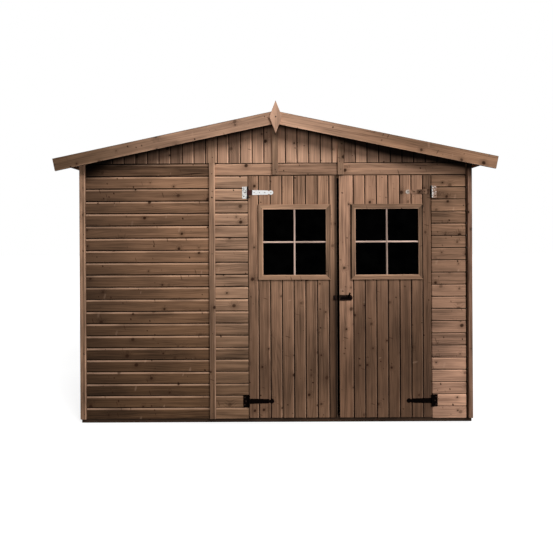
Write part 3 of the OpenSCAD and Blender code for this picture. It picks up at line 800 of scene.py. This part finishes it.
strips = Piece("front_strip_boards")
left_strip, right_strip = solids("front_strip_cladding")
clad(strips, left_strip, -Y, COURSES - 1, 0, SAG, LEFT_STRIP_EDGE)
clad(strips, right_strip, -Y, COURSES - 1, 1, 0.0, RIGHT_STRIP_EDGE, RIGHT_STRIP_TONES, STRIP_END)
strips.make("shed", (left_strip_wood, right_strip_wood), "wall_boards", "front_strip_cladding")

for name, node, out in (("rear_wall_boards", "rear_cladding", Y), ("left_side_boards", "left_cladding", -X),
                        ("right_side_boards", "right_cladding", X)):
    boards = Piece(name)
    for box in solids(node):
        clad(boards, box, out, COURSES)
    boards.make("shed", side_wood, "wall_boards", node)

header = Piece("header_boards")
(left_lo, left_hi), (right_lo, right_hi) = solids("front_header_cladding")
header_section = matched(left_hi.z - left_lo.z, left_hi.y - left_lo.y, GROOVE, CHAMFER, 0.7)
header_spans = ((left_lo.x, 0.0), (0.0, left_hi.x), (right_lo.x, right_hi.x))
for (x0, x1), tone in zip(header_spans, HEADER_TONES):
    header.board(Vector((x0, left_lo.y, left_lo.z)), (X, Z, -Y), (0, x1 - x0), header_section, tone=tone)
header.make("shed", header_wood, "wall_boards", "front_header_cladding")
# The slot of the front right corner, painted with shadow, starts here
SLOT_X = right_hi.x


def gable(name, node, shifts):
    """Upright boards cut to the slope of the roof. shifts move their joints left and right of the ridge."""
    piece = Piece(name)
    for lo, hi in solids(node):
        out, face = outward(lo, hi)
        half = 0 if lo.x + hi.x < 0 else 1
        first = math.floor(lo.x / UPRIGHT_COVER) - 1
        last = math.ceil(hi.x / UPRIGHT_COVER) + 1
        joints = [k * UPRIGHT_COVER + shifts[half] for k in range(first, last + 1)]
        edges = [min(max(x, lo.x), hi.x) for x in joints]
        for x0, x1 in zip(edges, edges[1:]):
            if x1 - x0 < 2 * GROOVE:
                continue
            if x1 - x0 < WIDE_GROOVE + 2 * CHAMFER:
                section = squared(x1 - x0, hi.y - lo.y, HAIR)
            else:
                section = matched(x1 - x0, hi.y - lo.y, WIDE_GROOVE, CHAMFER, GABLE_PALE[half])
            piece.board(Vector((x0, face, lo.z)), (Z, X, out), up_to_roof(x0, lo.z), section)
    piece.make("shed", gable_wood, "wall_boards", node)


gable("front_gable_boards", "front_gable_cladding", GABLE_SHIFTS)
gable("rear_gable_boards", "rear_gable_cladding", (0, 0))

# Trims
corners = Piece("corner_boards")
for lo, hi in solids("corner_trims"):
    at_front = hi.y < 0
    finish = 0 if not at_front else 1 if lo.x < 0 else 2
    if at_front and lo.x < 0 and hi.x - lo.x > hi.y - lo.y:
        section = edged(hi.x - lo.x, hi.y - lo.y, CORNER_STRIP)
        corners.board(lo, (Z, X, -Y), (0, hi.z - lo.z), section, BEAM_STEP, 0, ARRIS, None, finish)
    else:
        corners.beam(lo, hi, finish)
corners.make("shed", (trim_wood, left_corner_wood, right_corner_wood), "wall_boards", "corner_trims")
timbers("side_battens", "side_cover_battens", trim_wood, "wall_boards")


def battens(name, node, material):
    """Cover battens. Those left on the front have a painted highlight: a pale strip. Those that reach the roof
    are cut to its slope."""
    piece = Piece(name)
    for lo, hi in solids(node):
        out, face = outward(lo, hi)
        start, axes = Vector((lo.x, face, lo.z)), (Z, X, out)
        if face < 0 and hi.x < 0:
            section = edged(hi.x - lo.x, hi.y - lo.y, CORNER_STRIP)
        else:
            section = squared(hi.x - lo.x, hi.y - lo.y)
        if hi.z > roof_under(lo.x) - ROOF_NEAR:
            piece.board(start, axes, up_to_roof(lo.x, lo.z), section, BEAM_STEP, 0)
        else:
            piece.board(start, axes, (0, hi.z - lo.z), section, BEAM_STEP, 0, ARRIS)
    piece.make("shed", material, "wall_boards", node)


battens("front_battens", "front_cover_battens", batten_wood)
battens("rear_battens", "rear_cover_battens", trim_wood)

# Frame and floor
timbers("base_timbers", "base_rails", base_wood_in_painted_shade)
timbers("bearer_timbers", "floor_bearers", base_wood_in_painted_shade)
timbers("side_wall_frame", "side_wall_posts", inner_wood)
timbers("gable_frame", "gable_posts", inner_wood)
end_frame = Piece("end_wall_frame")
for node in ("end_wall_posts", "end_wall_rails"):
    for lo, hi in solids(node):
        # The frame in the slot gets the painted shadow
        in_slot = hi.y < 0 and hi.x > SLOT_X
        end_frame.beam(lo, hi, int(in_slot))
end_frame.make("shed", (inner_wood, slot_painted_shadow), "inner_wood", "end_wall_posts", "end_wall_rails")

deck = Piece("floor_boards")
deck_lo, deck_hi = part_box("floor_deck")
deck_rows = round((deck_hi.y - deck_lo.y) / FLOOR_COVER)
deck_cover = (deck_hi.y - deck_lo.y) / deck_rows
for k in range(deck_rows):
    start = Vector((deck_lo.x, deck_lo.y + k * deck_cover, deck_hi.z))
    section = matched(deck_cover, deck_hi.z - deck_lo.z)
    # The front floor board is painted with the shade under the doors
    deck.board(start, (X, Y, Z), (0, deck_hi.x - deck_lo.x), section, finish=int(k == 0))
deck.make("shed", (inner_wood, base_wood_in_painted_shade), "inner_wood", "floor_deck")


def sloped_timber(piece, box, top, wear, step):
    """A timber along Y whose upper face follows the roof: top gives its height for each x."""
    lo, hi = box
    middle = [0.0] if lo.x < 0 < hi.x else []
    tops = [(x, top(x)) for x in [hi.x] + middle + [lo.x]]
    section = [(x - lo.x, hi.z - z, wear) for x, z in [(lo.x, lo.z), (hi.x, lo.z)] + tops]
    piece.board(Vector((lo.x, lo.y, hi.z)), (Y, X, Z), (0, hi.y - lo.y), section, step, 0)


roof_frame = Piece("roof_frame")
for node in ("wall_plates", "roof_purlins"):
    for box in solids(node):
        sloped_timber(roof_frame, box, lambda x: roof_under(x) - HAIR, 0.2, BEAM_STEP)
roof_frame.make("shed", inner_wood, "inner_wood", "wall_plates", "roof_purlins")


# Roof
def roof_boards(name, node, way):
    """Boards down one slope, grooved on their lower face."""
    piece = Piece(name)
    down, up = slope_axes(way)
    rows = round(2 * ROOF_Y / ROOF_COVER)
    cover = 2 * ROOF_Y / rows
    section = matched(cover, ROOF_T * math.cos(PITCH))
    for k in range(rows):
        start = Vector((0, k * cover - ROOF_Y, roof_under(0)))
        piece.board(start, (down, Y, -up), (0, EAVE_X / math.cos(PITCH)), section)
    piece.make("shed", inner_wood, "inner_wood", node)


roof_boards("left_roof_deck", "left_roof_boards", -1)
roof_boards("right_roof_deck", "right_roof_boards", 1)

felt_lo, felt_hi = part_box("roof_felt")
FELT_L = felt_hi.y - felt_lo.y
FELT_RUN = felt_hi.x / math.cos(PITCH)


def felt_section(near, far, rise):
    """Section of a sheet down the slope. Its lower edge climbs by rise over the head of the next sheet."""
    top = HAIR + FELT_T
    step = far - 0.6 * FELT_LAP
    tip = top + rise
    return [
        (near, -HAIR, 0), (near, -top, 0), (near + FELT_LAP, -top, 0), (far - FELT_LAP, -top, 0),
        (step, -tip, 0), (far - FELT_SEAM - FLANK, -tip, 0), (far - FELT_SEAM, -tip, 1), (far - MM, -tip, 1),
        (far, -tip + MM, 1), (far, -HAIR - rise, 1), (step, -HAIR - rise, 0), (far - FELT_LAP, -HAIR, 0),
    ]


def felt_slope(sheets, nails, way):
    """Sheets of felt down one slope and the nails along their lower edges."""
    down, up = slope_axes(way)
    start = Vector((0, felt_lo.y, roof_top(0)))
    sheet = FELT_RUN / FELT_SHEETS
    rows = round(FELT_L / CLOUT_STEP)
    for k in range(FELT_SHEETS):
        lapped = k < FELT_SHEETS - 1
        far = (k + 1) * sheet + (FELT_LAP if lapped else 0)
        rise = FELT_T if lapped else 0
        section = felt_section(k * sheet, far, rise)
        sheets.board(start, (Y, down, up), (0, FELT_L), section, FELT_STEP, 0.6 * MM)
        for i in range(rows):
            along = Y * (i + 0.5) * FELT_L / rows
            seat = down * (far - CLOUT_INSET) + up * (HAIR + FELT_T + rise)
            nails.lathe(start + along + seat, up, CLOUT)


def ridge_cap(sheets):
    """A strip of felt bent over the ridge."""
    fall, rise = RIDGE_CAP_W * math.cos(PITCH), RIDGE_CAP_W * math.sin(PITCH)
    under = (HAIR + RIDGE_LIFT) / math.cos(PITCH)
    half = [(0, 1), (FELT_SEAM, 1), (FELT_SEAM + FLANK, 0), (fall, 0)]
    edge = [(t, rise - t * math.tan(PITCH), w) for t, w in half]
    edge += [(2 * fall - t, d, w) for t, d, w in edge[-2::-1]]
    upper = [(t, d - under - RIDGE_CAP_T, w) for t, d, w in edge]
    lower = [(t, d - under, 0) for t, d, _ in edge[::-1]]
    start = Vector((-fall, felt_lo.y, roof_top(0)))
    sheets.board(start, (Y, X, Z), (0, FELT_L), upper + lower, FELT_STEP, 0)


felt_sheets, felt_nails = Piece("roof_felt_sheets"), Piece("roof_felt_nails")
for way in (-1, 1):
    felt_slope(felt_sheets, felt_nails, way)
ridge_cap(felt_sheets)
felt_sheets.make("shed", roofing, "roof_felt", "roof_felt")
felt_nails.make("shed", clout_steel, "bright_metal")

fascias = Piece("eave_boards")
for box in solids("eave_fascias"):
    sloped_timber(fascias, box, roof_top, 0.4, BOARD_STEP)
fascias.make("shed", trim_wood, "roof_trim", "eave_fascias")


def bargeboards(name, node):
    """A pair of boards up the gable: plumb cut at the ridge, square cut at the eaves."""
    piece = Piece(name)
    for lo, hi in solids(node):
        way = -1 if lo.x + hi.x < 0 else 1
        down, up = slope_axes(way)
        end = max(abs(lo.x), abs(hi.x)) / math.cos(PITCH)
        out, face = outward(lo, hi)
        section = edged(BARGE_W, hi.y - lo.y, 2 * ARRIS, -0.7)
        piece.board(Vector((0, face, hi.z)), (down, -up, out), lambda t: (t * math.tan(PITCH) + HAIR, end),
                    section, BOARD_STEP, 0, finish=int(way > 0))
    piece.make("shed", (left_barge_wood, right_barge_wood), "roof_trim", node)


bargeboards("front_barge_pair", "front_bargeboards")
bargeboards("rear_barge_pair", "rear_bargeboards")

nails = Piece("trim_nails")
finials = Piece("finials")
for lo, hi in solids("gable_finials"):
    mid_x, mid_z = (lo.x + hi.x) / 2, (lo.z + hi.z) / 2
    diamond = [(mid_x, lo.z), (hi.x, mid_z), (mid_x, hi.z), (lo.x, mid_z)]
    out, face = outward(lo, hi)
    finials.slab(diamond, hi.y if face < 0 else lo.y, face, FINIAL_ARRIS)
    nails.lathe(Vector((mid_x, face, mid_z)), out, FINIAL_NAIL, 12)
finials.make("shed", finial_wood, "roof_trim", "gable_finials")


def nail_rows(nails, node):
    """A row of nails up each trim of a node."""
    for lo, hi in solids(node):
        mid = (lo + hi) / 2
        sideways = hi.x - lo.x < hi.y - lo.y
        out = X * math.copysign(1, mid.x) if sideways else Y * math.copysign(1, mid.y)
        depth = (hi - lo).dot(Vector(map(abs, out)))
        face = Vector((mid.x, mid.y, 0)) + out * depth / 2
        rows = max(2, round((hi.z - lo.z) / NAIL_STEP))
        for i in range(rows):
            height = lo.z + NAIL_END + i * (hi.z - lo.z - 3 * NAIL_END) / (rows - 1)
            nails.lathe(face + Z * height, out, NAIL)


for node in ("corner_trims", "front_cover_battens", "rear_cover_battens", "side_cover_battens"):
    nail_rows(nails, node)
nails.make("shed", nail_steel, "black_metal")


# Doors
def planks(side, *materials):
    """Upright boards of one door round its window. materials are those of the first, the inner and the last
    boards."""
    first, cover, pale, tones = DOORS[side]
    lo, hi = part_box(side + "_door_boards")
    glass_lo, glass_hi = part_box(side + "_window_glass")
    left, right = glass_lo.x - HAIR, glass_hi.x + HAIR
    sill, head = glass_lo.z - HAIR, glass_hi.z + HAIR
    edges = [lo.x] + [lo.x + first + k * cover for k in range(INNER_BOARDS + 1)] + [hi.x]
    deep = hi.y - lo.y
    piece = Piece(side + "_door_planks")
    for k, (x0, x1) in enumerate(zip(edges, edges[1:])):
        finish = 0 if k == 0 else 2 if k > INNER_BOARDS else 1
        section = squared(x1 - x0, deep)
        if finish < 2:
            section = matched(x1 - x0, deep, WIDE_GROOVE, CHAMFER, pale)
        spans = [(lo.z, sill), (head, hi.z)] if finish == 1 else [(lo.z, hi.z)]
        for span in spans:
            piece.board(Vector((x0, lo.y, 0)), (Z, X, -Y), span, section, tone=tones[k], finish=finish)
    for x0, x1 in ((edges[1], left), (right, edges[-2])):
        if x1 - x0 > 2 * MM:
            section = squared(x1 - x0, deep, HAIR)
            piece.board(Vector((x0, lo.y, 0)), (Z, X, -Y), (sill, head), section, BEAM_STEP, 0, finish=1)
    piece.make(side + "_door", materials, "door_boards", side + "_door_boards")


def ledges(side):
    """Ledges and the sloping brace inside one door."""
    piece = Piece(side + "_door_frame")
    parts = solids(side + "_door_ledges")
    brace = max(parts, key=lambda b: b[1].z - b[0].z)
    for part in parts:
        if part is not brace:
            piece.beam(*part)
            wide = part[1].z - part[0].z
    lo, hi = brace
    way = 1 if side == "left" else -1
    foot = Vector((lo.x if way > 0 else hi.x, hi.y, lo.z))
    run = Vector((way * (hi.x - lo.x - wide), 0, hi.z - lo.z))
    axes = (run.normalized(), X * way, Y)
    piece.board(foot, axes, (0, run.length), squared(wide, hi.y - lo.y), BEAM_STEP, 0)
    piece.make(side + "_door", inner_wood, "inner_wood", side + "_door_ledges")


def trim_ring(piece, mid, out, sections, tones, half_w, half_h):
    """Four mitred boards round a middle point on their face: bottom, right, top and left."""
    for turn in range(4):
        along = (X, Z, -X, -Z)[turn]
        across = (Z, -X, -Z, X)[turn]
        reach, off = (half_w, half_h) if turn % 2 == 0 else (half_h, half_w)
        axes = (along, across, out)
        piece.board(mid - across * off, axes, lambda t: (t - reach + HAIR, reach - t - HAIR), sections[turn],
                    BOARD_STEP, 0, tone=tones[turn])


def bars(piece, side, mid, half_w, half_h):
    """A cross of bars on both faces of a window's glass, within the half sizes about a middle point."""
    glass_lo, glass_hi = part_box(side + "_window_glass")
    cross_tone, upright_tone = BAR_TONES[side]
    cross = (X, Z, half_w, BAR_T - BAR_STEP, cross_tone)
    upright = (Z, X, half_h, BAR_T, upright_tone)
    for out, face in ((-Y, glass_lo.y - HAIR), (Y, glass_hi.y + HAIR)):
        for along, across, reach, thick, tone in (cross, upright):
            start = Vector((mid.x, face, mid.z)) + out * thick - across * BAR_W / 2
            axes = (along, across, out)
            section = rounded(BAR_W, thick)
            piece.board(start, axes, (-reach, reach), section, BOARD_STEP, 0, tone=tone, finish=1)


def window(side):
    """Mitred trims outside, a mitred stop inside and a cross of bars."""
    trim_lo, trim_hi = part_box(side + "_window_frame")
    boards_lo, boards_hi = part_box(side + "_door_boards")
    glass_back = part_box(side + "_window_glass")[1].y
    mid = (trim_lo + trim_hi) / 2
    half_w, half_h = (trim_hi.x - trim_lo.x) / 2, (trim_hi.z - trim_lo.z) / 2
    sight_w, sight_h = half_w - WINDOW_TRIM_W, half_h - WINDOW_TRIM_W
    piece = Piece(side + "_window_trims")
    deep = boards_lo.y - trim_lo.y
    tones, trims = [], []
    for tone, pale, margin in WINDOW_TRIMS[side]:
        tones.append(tone)
        trims.append(bevelled(WINDOW_TRIM_W, deep, WINDOW_BEVEL, pale, margin))
    trim_ring(piece, Vector((mid.x, trim_lo.y, mid.z)), -Y, trims, tones, half_w, half_h)
    stop = squared(WINDOW_STOP_W, boards_hi.y - glass_back - HAIR)
    stop_mid = Vector((mid.x, boards_hi.y, mid.z))
    trim_ring(piece, stop_mid, Y, [stop] * 4, [0.5] * 4, sight_w + WINDOW_STOP_W, sight_h + WINDOW_STOP_W)
    bars(piece, side, mid, sight_w, sight_h)
    piece.make(side + "_door", (window_wood, bar_wood), "door_boards", side + "_window_frame")


planks("left", left_door_wood, left_door_wood, left_stile_wood)
planks("right", meeting_wood, right_door_wood, right_stile_wood)
for side in DOORS:
    ledges(side)
    window(side)

# Fittings keep their CAD shapes
FINISHES = (
    (glass, "left_window_glass", "right_window_glass"),
    (zinc_plates_painted_sky, "upper_hinge_plates"),
    (zinc_strap, "left_upper_hinge_strap"),
    (brown_strap, "right_upper_hinge_strap"),
    # The lower hinges' black is a painted reflection of the dark ground
    (black_metal_and_painted_reflection, "lower_hinge_plates", "left_lower_hinge_strap", "right_lower_hinge_strap", "latch_bolt"),
    (brown_iron, "latch_body", "latch_keeper"),
)
for finish, *nodes in FINISHES:
    for node in nodes:
        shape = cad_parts[node]
        shape.data.materials.clear()
        shape.data.materials.append(finish)


def strap_screws(side, level):
    """Screws along one hinge strap, on the face of its plate."""
    lo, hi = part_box(side + "_" + level + "_hinge_strap")
    axis, way = (lo.x + KNUCKLE_R, 1) if side == "left" else (hi.x - KNUCKLE_R, -1)
    screws = Piece(side + "_" + level + "_strap_screws")
    for reach in STRAP_SCREWS:
        screws.lathe(Vector((axis + way * reach, hi.y - METAL_T, (lo.z + hi.z) / 2)), -Y, SCREW, 10)
    finish = zinc_screws if side == "left" and level == "upper" else black_metal_and_painted_reflection
    screws.make(side + "_door", finish, "black_metal")


for side in DOORS:
    for level in ("upper", "lower"):
        strap_screws(side, level)

plate_screws = Piece("hinge_plate_screws")
for level in ("upper", "lower"):
    for lo, hi in solids(level + "_hinge_plates"):
        for share, inset in PLATE_SCREWS:
            x = lo.x + inset if lo.x < 0 else hi.x - inset
            plate_screws.lathe(Vector((x, hi.y - METAL_T, lo.z + share * (hi.z - lo.z))), -Y, SCREW, 10)
plate_screws.make("shed", nail_steel, "black_metal")

# Floor, light and camera. The photo's width, focal length and optical centre are in its pixels
PHOTO_W = 553
SENSOR_MM = 36
FOCAL_PX = 580.6
OPTIC_X, OPTIC_Y = 275.95, 232.3
YAW, TILT, ROLL = 0.0033, -0.0005, -0.0053
EYE = Vector((0.0166, -5.268, 1.412))
SKY_FRONT, SKY_BACK = 0.13, 0.8
SUN = 2.47
SUN_FROM = Vector((0.45, -0.85, 0.6))
SUN_SPREAD = math.radians(28)
FLOOR_HALF = 30.0
FLOOR_GREY = 0.5
FLOOR_GLOW = 0.76


def seen_directly(t):
    """1 for rays from the camera, a mirror or glass."""
    path = t.node("LightPath")
    seen = t.most(path.outputs["Is Camera Ray"], path.outputs["Is Glossy Ray"])
    return t.most(seen, path.outputs["Is Transmission Ray"])


def paper_floor():
    """A pale floor that looks white but keeps the shed's shadow. Its glow ends under the walls."""
    mesh = bpy.data.meshes.new("ground")
    corners = [(x * FLOOR_HALF, y * FLOOR_HALF, -HAIR) for x, y in ((-1, -1), (1, -1), (1, 1), (-1, 1))]
    mesh.from_pydata(corners, [], [(0, 1, 2, 3)])
    ground = linked("ground", mesh)
    paper = Tree(bpy.data.materials.new("paper"))
    matte = paper.node("BsdfDiffuse", {"Color": (FLOOR_GREY, FLOOR_GREY, FLOOR_GREY, 1)})
    _, coords = paper.place()
    wall_face = (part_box("right_cladding")[1].x, -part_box("front_strip_cladding")[0].y)
    beside = [paper.remap(paper.math("ABSOLUTE", coords[i]), deck_hi[i], wall_face[i]) for i in (0, 1)]
    clear = paper.times(seen_directly(paper), paper.most(*beside))
    glow = paper.node("Emission", {"Strength": paper.times(clear, FLOOR_GLOW)})
    both = paper.node("AddShader", {0: matte.outputs[0], 1: glow.outputs[0]})
    paper.node("OutputMaterial", {0: both.outputs[0]})
    mesh.materials.append(paper.owner)


def studio_light(scene):
    """A sky that is brighter behind the shed and looks white, and one broad soft lamp."""
    scene.world = bpy.data.worlds.new("studio")
    sky = Tree(scene.world)
    _, way = sky.place()
    soft = sky.node("Background", {"Strength": sky.remap(way[1], -0.1, 0.6, SKY_FRONT, SKY_BACK)})
    white = sky.node("Background", {"Strength": 1.0})
    for light in (soft, white):
        light.inputs["Color"].default_value = (1, 1, 1, 1)
    choice = sky.node("MixShader", {0: seen_directly(sky), 1: soft.outputs[0], 2: white.outputs[0]})
    sky.node("OutputWorld", {0: choice.outputs[0]})
    sun = bpy.data.lights.new("key", "SUN")
    sun.energy = SUN
    sun.angle = SUN_SPREAD
    linked("key", sun).rotation_euler = SUN_FROM.to_track_quat("Z", "Y").to_euler()


def photo_camera(scene):
    """The camera at the photograph's viewpoint."""
    lens = bpy.data.cameras.new("camera")
    lens.sensor_width = SENSOR_MM
    lens.lens = FOCAL_PX / PHOTO_W * lens.sensor_width
    lens.shift_x = (PHOTO_W / 2 - OPTIC_X) / PHOTO_W
    lens.shift_y = (OPTIC_Y - PHOTO_W / 2) / PHOTO_W
    camera = linked("camera", lens)
    level = Matrix.Rotation(math.pi / 2 + TILT, 4, "X") @ Matrix.Rotation(ROLL, 4, "Z")
    camera.matrix_world = Matrix.Translation(EYE) @ Matrix.Rotation(YAW, 4, "Z") @ level
    scene.camera = camera


paper_floor()
studio_light(bpy.context.scene)
photo_camera(bpy.context.scene)
bpy.context.scene.view_settings.view_transform = "Standard"
